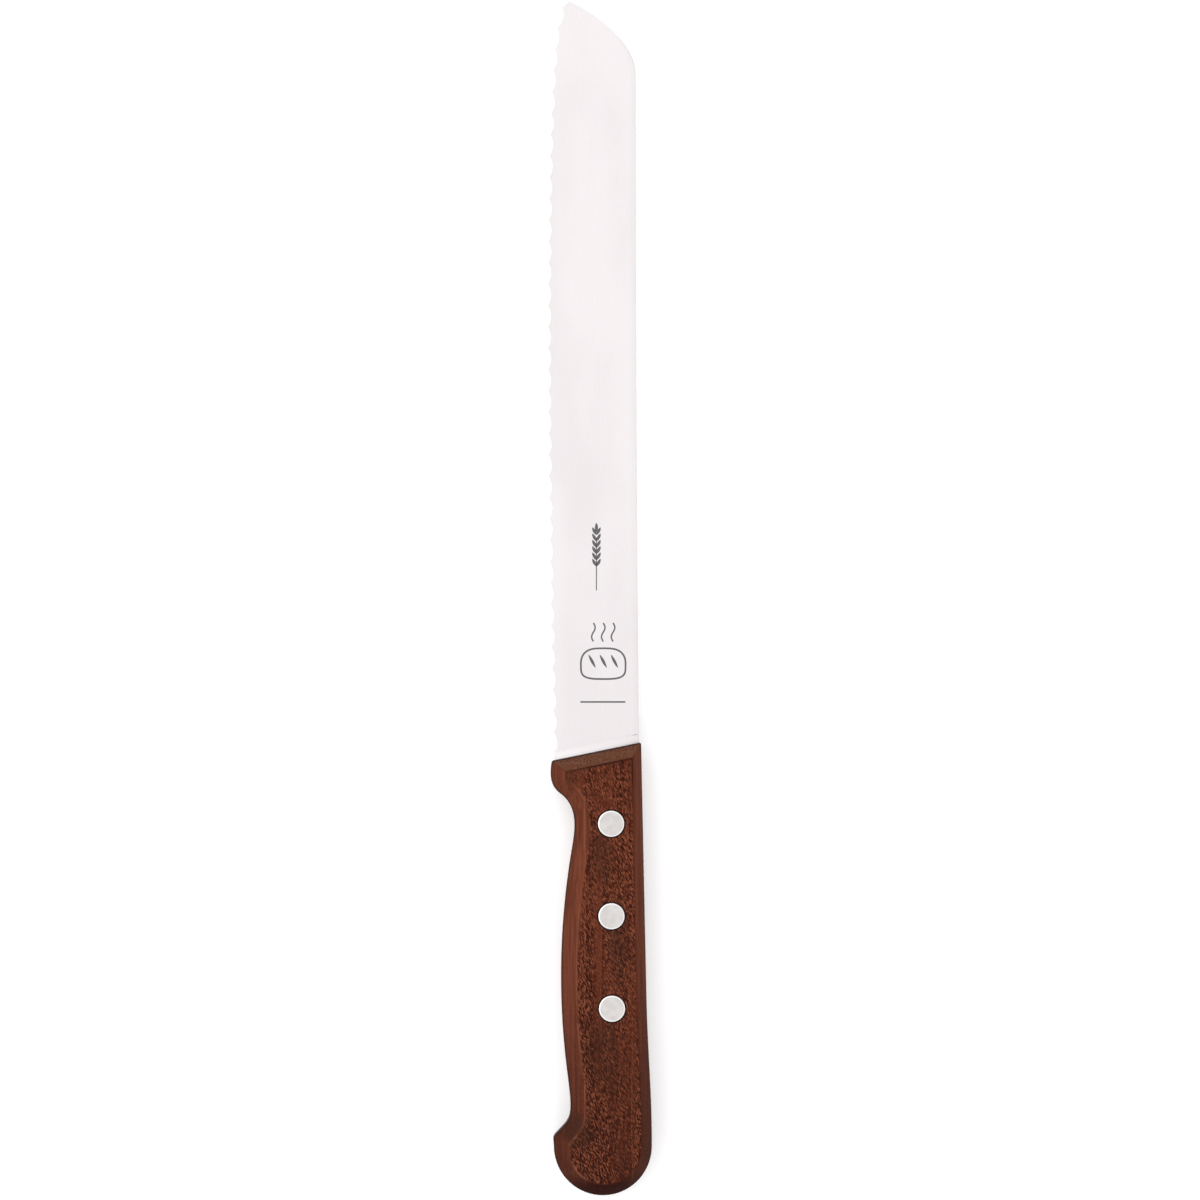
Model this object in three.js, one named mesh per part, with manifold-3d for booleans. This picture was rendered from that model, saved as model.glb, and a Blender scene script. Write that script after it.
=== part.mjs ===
// Bread knife: a stamped steel blade with a scalloped edge, whose tang is riveted into the slot
// of a one-piece hardwood handle. It lies on its side: +X points to the tip, +Y to the cutting
// edge and +Z up. The origin is on the supporting surface, under the middle of the knife's length
// and width. All sizes are in millimetres.

import * as THREE from 'three';
import { mergeVertices } from 'three/addons/utils/BufferGeometryUtils.js';
import Module from 'manifold-3d';

const point = (x, y) => new THREE.Vector2(x, y);

// ---- Driving dimensions: handle -------------------------------------------------------------

const HANDLE_THICKNESS = 17.5;
const FACET_DROP = 4; // how far every edge facet runs down from the handle's flat side
const BELLY_FACET = 4.2; // facet widths, seen from the side
const BUTT_FACET = 2.65;
const SPINE_FACET = 2.5;
const FRONT_FACET = 3.6;

const FRONT_BELLY = point(-45.7, 13.3); // corner where the front meets the belly
const FRONT_SPINE = point(-40.6, -11.5); // corner where the front meets the spine
const BEAK = point(-150.6, 12.9); // sharp point of the hooked butt
const BUTT_CENTRE = point(-153.2, -0.9);
const BUTT_RADIUS = 13.6;
const GRIP_RADIUS = 208.9; // long swell of the belly
const GRIP_CENTRE = point(-105.6, -198.2);
const GRIP_START = point(-72.1, 8);
const GRIP_END = point(-133.9, 8.8);

const SLOT_END = -132.2; // the saw slot runs from the front to here
const SLOT_WIDTH = 2;

// ---- Driving dimensions: blade --------------------------------------------------------------

const SHEET = 1.8; // thickness of the tang, and of the spine at the heel
const SPINE_AT_TIP = 1.3;
const EDGE_AT_HEEL = 0.85;
const TIP = point(166.8, 8.6);
const SPINE_HEEL = point(-42, -11);
const CLIP_START = point(146.5, -10.1);
const EDGE_HEEL = point(-43.8, 12.4);
const EDGE_TIP = point(165, 10.4);
const BLADE_ROOT = -50; // the blade's outline ends here, inside the handle
const GRIND_SETBACK = 1.2; // from the end of the ground faces to the handle's front
const STOCK = 0.15; // sheet left outside the tooth points before the flutes are ground

const FLUTE_COUNT = 35;
const SCALLOP_DEPTH = 0.95; // from the tooth points to the bottom of a scallop
const FLUTE_ANGLE = THREE.MathUtils.degToRad(14); // between a flute's bottom and the blade's face
const FLUTE_HALF_WIDTH = 4;
const FLUTE_REACH = 6; // how far a flute's cutter runs in over the face
const FLUTE_OVERRUN = 4; // how far it stands out past the edge

const TANG_INSET = 0.15; // the tang's edges sit this far below the wood
const TANG_END_GAP = 0.5;

// ---- Driving dimensions: rivets -------------------------------------------------------------

const RIVETS = [
  { name: 'front', x: -63, y: -3.2 },
  { name: 'middle', x: -88.75, y: -3.3 },
  { name: 'rear', x: -114.5, y: -3.45 },
];
const HEAD_RADIUS = 3.7;
const HEAD_THICKNESS = 2;
const HEAD_BEVEL = 0.25;
const SOCKET_RADIUS = 2.2;
const SOCKET_TOP = 13;
const BORE_BOTTOM = 3;
const PIN_RADIUS = 1.5;
const PIN_BOTTOM = 4;
const CLEARANCE = 0.05; // all round a rivet head, a socket and a pin
const TANG_HOLE_RADIUS = 2.5;
const ROUND_SEGMENTS = 32;

const MID = HANDLE_THICKNESS / 2;

// ---- Geometry helpers -----------------------------------------------------------------------

const { Manifold, Mesh: ManifoldMesh } = await loadManifold();

async function loadManifold() {
  const library = await Module();
  library.setup();
  return library;
}

// Drops triangles that have two corners in one place.
function withoutSlivers(index) {
  const kept = [];
  for (let i = 0; i < index.length; i += 3) {
    const [a, b, c] = [index[i], index[i + 1], index[i + 2]];
    if (a !== b && b !== c && c !== a) {
      kept.push(a, b, c);
    }
  }
  return new Uint32Array(kept);
}

function solidFrom(geometry) {
  const bare = geometry.clone();
  bare.deleteAttribute('normal');
  bare.deleteAttribute('uv');
  const merged = mergeVertices(bare, 1e-5);
  const vertProperties = new Float32Array(merged.attributes.position.array);
  const triVerts = withoutSlivers(merged.index.array);
  return new Manifold(new ManifoldMesh({ numProp: 3, vertProperties, triVerts }));
}

function geometryFrom(solid) {
  const mesh = solid.getMesh();
  const geometry = new THREE.BufferGeometry();
  geometry.setAttribute('position', new THREE.BufferAttribute(mesh.vertProperties, 3));
  geometry.setIndex(new THREE.BufferAttribute(mesh.triVerts, 1));
  geometry.computeVertexNormals();
  return geometry;
}

function extruded(shape, zLow, zHigh, curveSegments = 12) {
  const settings = { depth: zHigh - zLow, bevelEnabled: false, curveSegments };
  return new THREE.ExtrudeGeometry(shape, settings).translate(0, 0, zLow);
}

// A round body about the Z axis. The profile is [radius, height] pairs from bottom to top.
function turned(profile) {
  const points = profile.map(([radius, height]) => point(radius, height));
  return new THREE.LatheGeometry(points, ROUND_SEGMENTS).rotateX(Math.PI / 2);
}

// A box given by its lowest and highest corners.
function block(low, high) {
  const size = high.map((value, i) => value - low[i]);
  const centre = high.map((value, i) => (value + low[i]) / 2);
  return new THREE.BoxGeometry(...size).translate(...centre);
}

// ---- Handle outline -------------------------------------------------------------------------

// The outline runs from the front corner along the belly to the beak, round the butt, back along
// the spine and up the slanted front. Each stretch has its own facet width at its start and end.
function handleStretches() {
  const gripStartAngle = GRIP_START.clone().sub(GRIP_CENTRE).angle();
  const gripEndAngle = GRIP_END.clone().sub(GRIP_CENTRE).angle();
  const belly = new THREE.Path()
    .moveTo(FRONT_BELLY.x, FRONT_BELLY.y)
    .bezierCurveTo(-51.1, 14.2, -53.1, 13, -54.7, 10.9)
    .bezierCurveTo(-58.9, 5.2, -66.3, 7.1, GRIP_START.x, GRIP_START.y)
    .absarc(GRIP_CENTRE.x, GRIP_CENTRE.y, GRIP_RADIUS, gripStartAngle, gripEndAngle)
    .bezierCurveTo(-146.6, 7.1, -145.4, 8.3, BEAK.x, BEAK.y);
  const butt = new THREE.Path()
    .moveTo(BEAK.x, BEAK.y)
    .lineTo(BUTT_CENTRE.x, BUTT_CENTRE.y + BUTT_RADIUS)
    .absarc(BUTT_CENTRE.x, BUTT_CENTRE.y, BUTT_RADIUS, Math.PI / 2, Math.PI * 1.5);
  const spine = new THREE.Path()
    .moveTo(BUTT_CENTRE.x, BUTT_CENTRE.y - BUTT_RADIUS)
    .bezierCurveTo(-138, -14.5, -128, -13.4, -112, -13)
    .lineTo(FRONT_SPINE.x, FRONT_SPINE.y);
  const front = new THREE.Path()
    .moveTo(FRONT_SPINE.x, FRONT_SPINE.y)
    .lineTo(FRONT_BELLY.x, FRONT_BELLY.y);
  return [
    { path: belly, steps: 64, facet: [BELLY_FACET, BELLY_FACET] },
    { path: butt, steps: 26, facet: [BELLY_FACET, BUTT_FACET] },
    { path: spine, steps: 24, facet: [BUTT_FACET, SPINE_FACET] },
    { path: front, steps: 4, facet: [FRONT_FACET, FRONT_FACET] },
  ];
}

// The outline moved inwards, point for point, by each stretch's facet width. Stretches that
// meet at a corner are mitred: points that would pass the mitre's end are gathered on it.
function insetRing(stretches, widthOf) {
  const runs = stretches.map((stretch) => offsetRun(stretch, widthOf(stretch)));
  runs.forEach((run, i) => gatherOnMitre(run, runs[(i + 1) % runs.length]));
  return runs.flatMap((run) => run.map((step) => step.inner));
}

function offsetRun(stretch, [startWidth, endWidth]) {
  return outerRun(stretch).map((outer, i, all) => {
    const before = all[Math.max(i - 1, 0)];
    const after = all[Math.min(i + 1, all.length - 1)];
    const along = after.clone().sub(before).normalize();
    const normal = point(-along.y, along.x);
    const width = THREE.MathUtils.lerp(startWidth, endWidth, i / (all.length - 1));
    return { outer, along, normal, width, inner: outer.clone().addScaledVector(normal, width) };
  });
}

function outerRun(stretch) {
  return stretch.path.getSpacedPoints(stretch.steps);
}

function gatherOnMitre(run, next) {
  const end = run[run.length - 1];
  const start = next[0];
  const turn = end.normal.cross(start.normal);
  const smooth = Math.abs(turn) < 0.2;
  const mitre = smooth ? end.inner.clone() : end.outer.clone().add(mitreOffset(end, start, turn));
  const reach = 2 * Math.max(end.width, start.width);
  const nearCorner = (step) => step.outer.distanceTo(end.outer) < reach;
  for (const step of run.filter(nearCorner)) {
    if (step.inner.clone().sub(mitre).dot(end.along) > 0) {
      step.inner.copy(mitre);
    }
  }
  for (const step of next.filter(nearCorner)) {
    if (step.inner.clone().sub(mitre).dot(start.along) < 0) {
      step.inner.copy(mitre);
    }
  }
  end.inner.copy(mitre);
  start.inner.copy(mitre);
}

// The corner where two lines, each offset by its own width, cross.
function mitreOffset(end, start, turn) {
  const x = (end.width * start.normal.y - start.width * end.normal.y) / turn;
  const y = (start.width * end.normal.x - end.width * start.normal.x) / turn;
  return point(x, y);
}

// ---- Handle ---------------------------------------------------------------------------------

// A closed skin over rings of matching points, one above the other, with flat ends.
function lofted(rings, heights) {
  const positions = [];
  const corner = (ring, i, height) => {
    const { x, y } = ring[i % ring.length];
    positions.push(x, y, height);
  };
  for (let level = 0; level + 1 < rings.length; level += 1) {
    const [low, high] = [rings[level], rings[level + 1]];
    const [zLow, zHigh] = [heights[level], heights[level + 1]];
    for (let i = 0; i < low.length; i += 1) {
      corner(low, i, zLow);
      corner(low, i + 1, zLow);
      corner(high, i + 1, zHigh);
      corner(low, i, zLow);
      corner(high, i + 1, zHigh);
      corner(high, i, zHigh);
    }
  }
  addCap(positions, rings[0], heights[0], false);
  addCap(positions, rings[rings.length - 1], heights[heights.length - 1], true);
  const geometry = new THREE.BufferGeometry();
  geometry.setAttribute('position', new THREE.Float32BufferAttribute(positions, 3));
  return geometry;
}

function addCap(positions, ring, height, faceUp) {
  const contour = ring.filter((p, i) => p.distanceTo(ring[(i + 1) % ring.length]) > 1e-4);
  for (const [a, b, c] of THREE.ShapeUtils.triangulateShape(contour, [])) {
    for (const i of faceUp ? [a, b, c] : [a, c, b]) {
      positions.push(contour[i].x, contour[i].y, height);
    }
  }
}

function rivetHole() {
  const hole = SOCKET_RADIUS + CLEARANCE;
  const counterbore = HEAD_RADIUS + CLEARANCE;
  const floor = HEAD_THICKNESS + CLEARANCE;
  const past = 1;
  return turned([
    [0, -past],
    [counterbore, -past],
    [counterbore, floor],
    [hole, floor],
    [hole, HANDLE_THICKNESS - floor],
    [counterbore, HANDLE_THICKNESS - floor],
    [counterbore, HANDLE_THICKNESS + past],
    [0, HANDLE_THICKNESS + past],
  ]);
}

function handleGeometry() {
  const stretches = handleStretches();
  const outline = insetRing(stretches, () => [0, 0]);
  const side = insetRing(stretches, (stretch) => stretch.facet);
  const rings = [side, outline, outline, side];
  const heights = [0, FACET_DROP, HANDLE_THICKNESS - FACET_DROP, HANDLE_THICKNESS];
  const slotLow = [SLOT_END, -20, MID - SLOT_WIDTH / 2];
  const slotHigh = [-30, 20, MID + SLOT_WIDTH / 2];
  let handle = solidFrom(lofted(rings, heights)).subtract(solidFrom(block(slotLow, slotHigh)));
  for (const { x, y } of RIVETS) {
    handle = handle.subtract(solidFrom(rivetHole().translate(x, y, 0)));
  }
  return geometryFrom(handle);
}

// ---- Blade ----------------------------------------------------------------------------------

function edgeCurve() {
  return new THREE.CubicBezierCurve(EDGE_HEEL, point(-42.6, 13.5), point(157.3, 17.4), EDGE_TIP);
}

function bladeOutline() {
  const { v0, v1, v2, v3 } = edgeCurve();
  return new THREE.Shape()
    .moveTo(BLADE_ROOT, SPINE_HEEL.y)
    .lineTo(SPINE_HEEL.x, SPINE_HEEL.y)
    .quadraticCurveTo(50, -10.05, CLIP_START.x, CLIP_START.y)
    .bezierCurveTo(153, -10.1, 161.5, -3, TIP.x, TIP.y)
    .lineTo(v3.x, v3.y + STOCK)
    .bezierCurveTo(v2.x, v2.y + STOCK, v1.x, v1.y + STOCK, v0.x, v0.y + STOCK)
    .lineTo(BLADE_ROOT, v0.y + STOCK);
}

// The tang fills the slot, with its edges just below the wood.
function tangSolid() {
  const ring = insetRing(handleStretches(), () => [TANG_INSET, TANG_INSET]);
  const whole = extruded(new THREE.Shape(ring), MID - SHEET / 2, MID + SHEET / 2);
  const slot = block([SLOT_END + TANG_END_GAP, -20, 0], [-30, 20, HANDLE_THICKNESS]);
  return solidFrom(whole).intersect(solidFrom(slot));
}

// Thickness of the blade between its two ground faces, which are planes.
function groundThickness(x, y) {
  const alongSpine = (SPINE_AT_TIP - SHEET) / (TIP.x - SPINE_HEEL.x);
  const acrossBlade = (EDGE_AT_HEEL - SHEET) / (EDGE_HEEL.y - SPINE_HEEL.y);
  return SHEET + alongSpine * (x - SPINE_HEEL.x) + acrossBlade * (y - SPINE_HEEL.y);
}

// The wedge of steel ground off one face (side is 1 for the upper face, -1 for the lower). Its
// rear end stands parallel to the handle's slanted front.
function grindWedge(side) {
  const slant = (FRONT_SPINE.x - FRONT_BELLY.x) / (FRONT_SPINE.y - FRONT_BELLY.y);
  const frontAt = (y) => FRONT_SPINE.x + slant * (y - FRONT_SPINE.y) + GRIND_SETBACK;
  const [low, high, far, tall] = [-30, 30, 180, 10];
  const plan = [
    point(frontAt(low), low),
    point(far, low),
    point(far, high),
    point(frontAt(high), high),
  ];
  const wedge = extruded(new THREE.Shape(plan), 0, tall);
  const position = wedge.attributes.position;
  for (let i = 0; i < position.count; i += 1) {
    const lift = position.getZ(i) + groundThickness(position.getX(i), position.getY(i)) / 2;
    position.setZ(i, MID + side * lift);
  }
  return solidFrom(side > 0 ? wedge : turnedInsideOut(wedge));
}

function turnedInsideOut(geometry) {
  const flat = geometry.index ? geometry.toNonIndexed() : geometry;
  const array = flat.attributes.position.array;
  for (let i = 0; i < array.length; i += 9) {
    for (let axis = 0; axis < 3; axis += 1) {
      [array[i + 3 + axis], array[i + 6 + axis]] = [array[i + 6 + axis], array[i + 3 + axis]];
    }
  }
  return flat;
}

// One flute's cutter between two tooth points. The flute is a shallow round groove, ground from
// the lower face only, that breaks out of the upper face as a scallop.
function fluteCutter(tooth, nextTooth) {
  const half = tooth.distanceTo(nextTooth) / 2;
  const sag = SCALLOP_DEPTH * Math.sin(FLUTE_ANGLE);
  const radius = (half * half + sag * sag) / (2 * sag);
  const along = nextTooth.clone().sub(tooth).normalize();
  const inward = new THREE.Vector3(along.y, -along.x, 0);
  const middle = tooth.clone().add(nextTooth).multiplyScalar(0.5);
  const valley = new THREE.Vector3(middle.x, middle.y, 0).addScaledVector(inward, SCALLOP_DEPTH);
  valley.z = MID + groundThickness(middle.x, middle.y) / 2;

  const reachAngle = Math.asin(FLUTE_HALF_WIDTH / radius);
  const section = new THREE.Shape()
    .absarc(0, -radius, radius, Math.PI / 2 + reachAngle, Math.PI / 2 - reachAngle, true)
    .lineTo(FLUTE_HALF_WIDTH, -3)
    .lineTo(-FLUTE_HALF_WIDTH, -3);
  const cutter = extruded(section, -FLUTE_OVERRUN, FLUTE_REACH, 10);

  const runDown = inward.clone().multiplyScalar(Math.cos(FLUTE_ANGLE));
  runDown.z = -Math.sin(FLUTE_ANGLE);
  const intoSteel = inward.clone().multiplyScalar(Math.sin(FLUTE_ANGLE));
  intoSteel.z = Math.cos(FLUTE_ANGLE);
  const across = intoSteel.clone().cross(runDown);
  const placed = new THREE.Matrix4().makeBasis(across, intoSteel, runDown).setPosition(valley);
  return solidFrom(cutter.applyMatrix4(placed));
}

function bladeGeometry() {
  const sheet = extruded(bladeOutline(), MID - SHEET / 2, MID + SHEET / 2, 36);
  let blade = solidFrom(sheet).add(tangSolid());
  blade = blade.subtract(grindWedge(1)).subtract(grindWedge(-1));
  const teeth = edgeCurve().getSpacedPoints(FLUTE_COUNT);
  for (let i = 0; i < FLUTE_COUNT; i += 1) {
    blade = blade.subtract(fluteCutter(teeth[i], teeth[i + 1]));
  }
  const drill = turned([
    [0, 0],
    [TANG_HOLE_RADIUS, 0],
    [TANG_HOLE_RADIUS, HANDLE_THICKNESS],
    [0, HANDLE_THICKNESS],
  ]);
  for (const { x, y } of RIVETS) {
    blade = blade.subtract(solidFrom(drill.clone().translate(x, y, 0)));
  }
  return geometryFrom(blade);
}

// ---- Rivets ---------------------------------------------------------------------------------

// Upper half of a cutler's rivet: a wide flat head with a solid pin.
function studGeometry() {
  const top = HANDLE_THICKNESS;
  return turned([
    [0, PIN_BOTTOM],
    [PIN_RADIUS - 0.4, PIN_BOTTOM],
    [PIN_RADIUS, PIN_BOTTOM + 0.8],
    [PIN_RADIUS, top - HEAD_THICKNESS],
    [HEAD_RADIUS, top - HEAD_THICKNESS],
    [HEAD_RADIUS, top - HEAD_BEVEL],
    [HEAD_RADIUS - HEAD_BEVEL, top],
    [0, top],
  ]);
}

// Lower half: the same head with a drilled barrel, which grips the pin.
function socketGeometry() {
  const bore = PIN_RADIUS + CLEARANCE;
  return turned([
    [0, 0],
    [HEAD_RADIUS - HEAD_BEVEL, 0],
    [HEAD_RADIUS, HEAD_BEVEL],
    [HEAD_RADIUS, HEAD_THICKNESS],
    [SOCKET_RADIUS, HEAD_THICKNESS],
    [SOCKET_RADIUS, SOCKET_TOP],
    [bore, SOCKET_TOP],
    [bore, BORE_BOTTOM],
    [0, BORE_BOTTOM],
  ]);
}

// ---- Assembly -------------------------------------------------------------------------------

const STEEL = { color: 0xe4e1e1, roughness: 0.32, metalness: 1 };
const WOOD = { color: 0x5d2e20, roughness: 0.55, metalness: 0 };
const RIVET_METAL = { color: 0xdbd8d7, roughness: 0.38, metalness: 1 };

function named(name, geometry, look) {
  const mesh = new THREE.Mesh(geometry, new THREE.MeshStandardMaterial(look));
  mesh.name = name;
  return mesh;
}

function rivet({ name, x, y }) {
  const group = new THREE.Group();
  group.add(named(`${name}_rivet_stud`, studGeometry(), RIVET_METAL));
  group.add(named(`${name}_rivet_socket`, socketGeometry(), RIVET_METAL));
  group.position.set(x, y, 0);
  return group;
}

const knife = new THREE.Group();
knife.add(named('blade', bladeGeometry(), STEEL));
knife.add(named('handle', handleGeometry(), WOOD));
knife.add(...RIVETS.map(rivet));

export default knife;
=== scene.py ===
import math

import bmesh
import bpy
from mathutils import Matrix, Vector
from mathutils.geometry import interpolate_bezier


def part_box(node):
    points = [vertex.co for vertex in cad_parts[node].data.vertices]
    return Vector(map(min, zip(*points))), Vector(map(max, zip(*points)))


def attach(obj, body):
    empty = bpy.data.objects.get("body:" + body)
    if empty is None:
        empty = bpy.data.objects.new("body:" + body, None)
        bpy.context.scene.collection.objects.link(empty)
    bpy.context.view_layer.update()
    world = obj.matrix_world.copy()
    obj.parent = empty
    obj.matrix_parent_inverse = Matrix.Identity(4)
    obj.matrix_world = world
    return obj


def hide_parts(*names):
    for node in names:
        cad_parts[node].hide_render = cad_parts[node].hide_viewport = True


# The looks of the bread knife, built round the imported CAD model. The knife lies on its side: +X
# points to the tip, +Y to the cutting edge and +Z up. Sizes here are in millimetres, and meshes
# are turned into metres as they are made.

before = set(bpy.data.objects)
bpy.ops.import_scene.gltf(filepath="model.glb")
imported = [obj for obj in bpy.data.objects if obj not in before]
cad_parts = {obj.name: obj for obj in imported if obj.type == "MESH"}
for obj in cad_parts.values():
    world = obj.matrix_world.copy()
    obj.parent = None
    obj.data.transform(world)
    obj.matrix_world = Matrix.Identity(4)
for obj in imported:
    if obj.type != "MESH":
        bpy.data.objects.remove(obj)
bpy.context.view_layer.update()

MM = 0.001


def box_mm(node):
    low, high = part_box(node)
    return low / MM, high / MM


# ---- Driving dimensions, from the frame and from the CAD design ------------------------------

HANDLE_LOW, HANDLE_HIGH = box_mm("handle")
THICKNESS = HANDLE_HIGH.z - HANDLE_LOW.z
MID = THICKNESS / 2
TANG_END = box_mm("blade")[0].x
RIVET_NAMES = ("front", "middle", "rear")

FACET_DROP = 4.0
BELLY_FACET = 4.2
BUTT_FACET = 2.65
SPINE_FACET = 2.5
FRONT_FACET = 3.6
RIDGE_SOFTNESS = 0.45  # how far a ridge's rounding reaches to each side
CORNER_SOFTNESS = 0.7
WALL_CROWN = 0.12

FRONT_BELLY = Vector((-45.7, 13.3))
FRONT_SPINE = Vector((-40.6, -11.5))
BEAK = Vector((-150.6, 12.9))
BUTT_CENTRE = Vector((-153.2, -0.9))
BUTT_RADIUS = 13.6
GRIP_CENTRE = Vector((-105.6, -198.2))
GRIP_RADIUS = 208.9
GRIP_START = Vector((-72.1, 8.0))
GRIP_END = Vector((-133.9, 8.8))
SLOT_END = -132.2
SLOT_WIDTH = 2.0
SLOT_REACH = 20.0  # to each side, past the handle
SLOT_FRONT = -30.0  # ahead of the handle

SHEET = 1.8
SPINE_AT_TIP = 1.3
EDGE_AT_HEEL = 0.85
TIP = Vector((166.8, 8.6))
SPINE_HEEL = Vector((-42.0, -11.0))
CLIP_START = Vector((146.5, -10.1))
EDGE_HEEL = Vector((-43.8, 12.4))
EDGE_TIP = Vector((165.0, 10.4))
PLUNGE = 2.6  # how far the ground faces take to run out ahead of the handle
TANG_INSET = 0.15
TANG_GAP = 0.02  # keeps the heel's first section clear of the tang's last one
STOCK = 0.15
SPINE_ROUNDING = 0.3
TIP_PULL = 3.5  # how far the last columns lean back, so that the nose has room

FLUTE_COUNT = 35
SCALLOP_DEPTH = 0.95
FLUTE_ANGLE = math.radians(14)

HEAD_THICKNESS = 2.0
SOCKET_RADIUS = 2.2
SOCKET_TOP = 13.0
BORE_BOTTOM = 3.0
PIN_RADIUS = 1.5
PIN_BOTTOM = 4.0
CLEARANCE = 0.05
TANG_HOLE_RADIUS = 2.5
HOLE_LIP = 0.12  # the wood's worn edge round a rivet head
HEAD_BEVEL = 0.25


# ---- Camera ----------------------------------------------------------------------------------

FRAME_WIDTH = 335.6  # what the picture shows across, at the height of the blade
LENS = 200.0
SENSOR = 36.0


def make_camera():
    data = bpy.data.cameras.new("camera")
    data.lens = LENS
    data.sensor_width = SENSOR
    data.clip_end = 100
    camera = bpy.data.objects.new("camera", data)
    distance = FRAME_WIDTH * LENS / SENSOR
    camera.location = Vector((-0.7, -0.1, MID + distance)) * MM
    camera.rotation_euler = (0, 0, -math.pi / 2)  # the tip points up in the picture
    bpy.context.scene.collection.objects.link(camera)
    bpy.context.scene.camera = camera


make_camera()


# ---- Curves ----------------------------------------------------------------------------------

def bezier(p0, p1, p2, p3, count=60):
    return [Vector(p) for p in interpolate_bezier(p0, p1, p2, p3, count)]


def quadratic(p0, p1, p2, count=60):
    return bezier(p0, p0.lerp(p1, 2 / 3), p2.lerp(p1, 2 / 3), p2, count)


def arc(centre, radius, start, end, count=60):
    points = []
    for i in range(count):
        angle = start + (end - start) * i / (count - 1)
        points.append(centre + radius * Vector((math.cos(angle), math.sin(angle))))
    return points


def joined(*runs):
    points = []
    for run in runs:
        points += run if not points else run[1:]
    return points


def run_lengths(points):
    lengths = [0.0]
    for a, b in zip(points, points[1:]):
        lengths.append(lengths[-1] + (b - a).length)
    return lengths


def point_along(points, lengths, distance):
    for i in range(1, len(points)):
        if distance <= lengths[i] or i == len(points) - 1:
            span = lengths[i] - lengths[i - 1]
            share = (distance - lengths[i - 1]) / span if span else 0
            return points[i - 1].lerp(points[i], share)


def resampled(points, count, start_gap=0.0, end_gap=0.0):
    """count points evenly along a polyline, between a gap at its start and one at its end."""
    lengths = run_lengths(points)
    reach = lengths[-1] - start_gap - end_gap
    step = reach / (count - 1)
    return [point_along(points, lengths, start_gap + step * i) for i in range(count)]


# ---- Handle outline --------------------------------------------------------------------------

class Stretch:
    """One stretch of the handle's outline, with its facet width at each end."""

    def __init__(self, points, facet_start, facet_end, count):
        self.points = resampled(points, 4 * count)
        self.facet = (facet_start, facet_end)
        self.count = count

    def inset(self, share, extra):
        moved = []
        last = len(self.points) - 1
        for i, p in enumerate(self.points):
            along = (self.points[min(i + 1, last)] - self.points[max(i - 1, 0)]).normalized()
            facet = self.facet[0] + (self.facet[1] - self.facet[0]) * i / last
            moved.append(p + Vector((-along.y, along.x)) * (share * facet + extra))
        return moved


def handle_stretches():
    start = (GRIP_START - GRIP_CENTRE)
    end = (GRIP_END - GRIP_CENTRE)
    belly = joined(
        bezier(FRONT_BELLY, Vector((-51.1, 14.2)), Vector((-53.1, 13.0)), Vector((-54.7, 10.9))),
        bezier(Vector((-54.7, 10.9)), Vector((-58.9, 5.2)), Vector((-66.3, 7.1)), GRIP_START),
        arc(GRIP_CENTRE, GRIP_RADIUS, math.atan2(start.y, start.x), math.atan2(end.y, end.x)),
        bezier(GRIP_END, Vector((-146.6, 7.1)), Vector((-145.4, 8.3)), BEAK),
    )
    butt = joined(
        [BEAK, BUTT_CENTRE + Vector((0, BUTT_RADIUS))],
        arc(BUTT_CENTRE, BUTT_RADIUS, math.pi / 2, math.pi * 1.5, 90),
    )
    spine = joined(
        bezier(butt[-1], Vector((-138, -14.5)), Vector((-128, -13.4)), Vector((-112, -13))),
        [Vector((-112, -13)), FRONT_SPINE],
    )
    return [
        Stretch(belly, BELLY_FACET, BELLY_FACET, 150),
        Stretch(butt, BELLY_FACET, BUTT_FACET, 60),
        Stretch(spine, BUTT_FACET, SPINE_FACET, 90),
        Stretch([FRONT_SPINE, FRONT_BELLY], FRONT_FACET, FRONT_FACET, 20),
    ]


CROSSING_SEARCH = 160  # points from the corner, along both lines together


def crossing(first, second):
    """Where the end of one polyline crosses the start of the next: indices and the point."""
    for i in range(len(first) - 1, 0, -1):
        for j in range(len(second) - 1):
            if abs(i - len(first)) + j > CROSSING_SEARCH:
                break
            hit = segments_cross(first[i - 1], first[i], second[j], second[j + 1])
            if hit:
                return i, j, hit
    return len(first) - 1, 0, (first[-1] + second[0]) / 2


def segments_cross(a, b, c, d):
    ab, cd, ac = b - a, d - c, c - a
    turn = ab.cross(cd)
    if abs(turn) < 1e-9:
        return None
    s, t = ac.cross(cd) / turn, ac.cross(ab) / turn
    return a + ab * s if -1e-6 <= s <= 1 + 1e-6 and -1e-6 <= t <= 1 + 1e-6 else None


def extended(points, reach):
    """The polyline with both ends carried straight on, so that outer offsets still cross."""
    head = points[0] + (points[0] - points[1]).normalized() * reach
    tail = points[-1] + (points[-1] - points[-2]).normalized() * reach
    return [head, *points, tail]


CORNER_STEPS = 6


def handle_ring(stretches, share, extra):
    """The outline moved inwards by a share of the facets' widths plus a bit extra, with its
    corners mitred and slightly rounded. Every ring has the same number of points."""
    runs = [extended(s.inset(share, extra), 0.3) for s in stretches]
    count = len(runs)
    for i in range(count):
        j = (i + 1) % count
        end, start, corner = crossing(runs[i], runs[j])
        runs[i] = runs[i][:end] + [corner]
        runs[j] = [corner] + runs[j][start + 1:]
    softness = CORNER_SOFTNESS * (1 - 0.6 * min(max(share, 0), 1))
    ring = []
    for i, (run, stretch) in enumerate(zip(runs, stretches)):
        ring += resampled(run, stretch.count, softness, softness)
        following = resampled(runs[(i + 1) % count], stretches[(i + 1) % count].count,
                              softness, softness)[0]
        ring += quadratic(ring[-1], run[-1], following, CORNER_STEPS + 2)[1:-1]
    return ring


# ---- Meshes ----------------------------------------------------------------------------------

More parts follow.
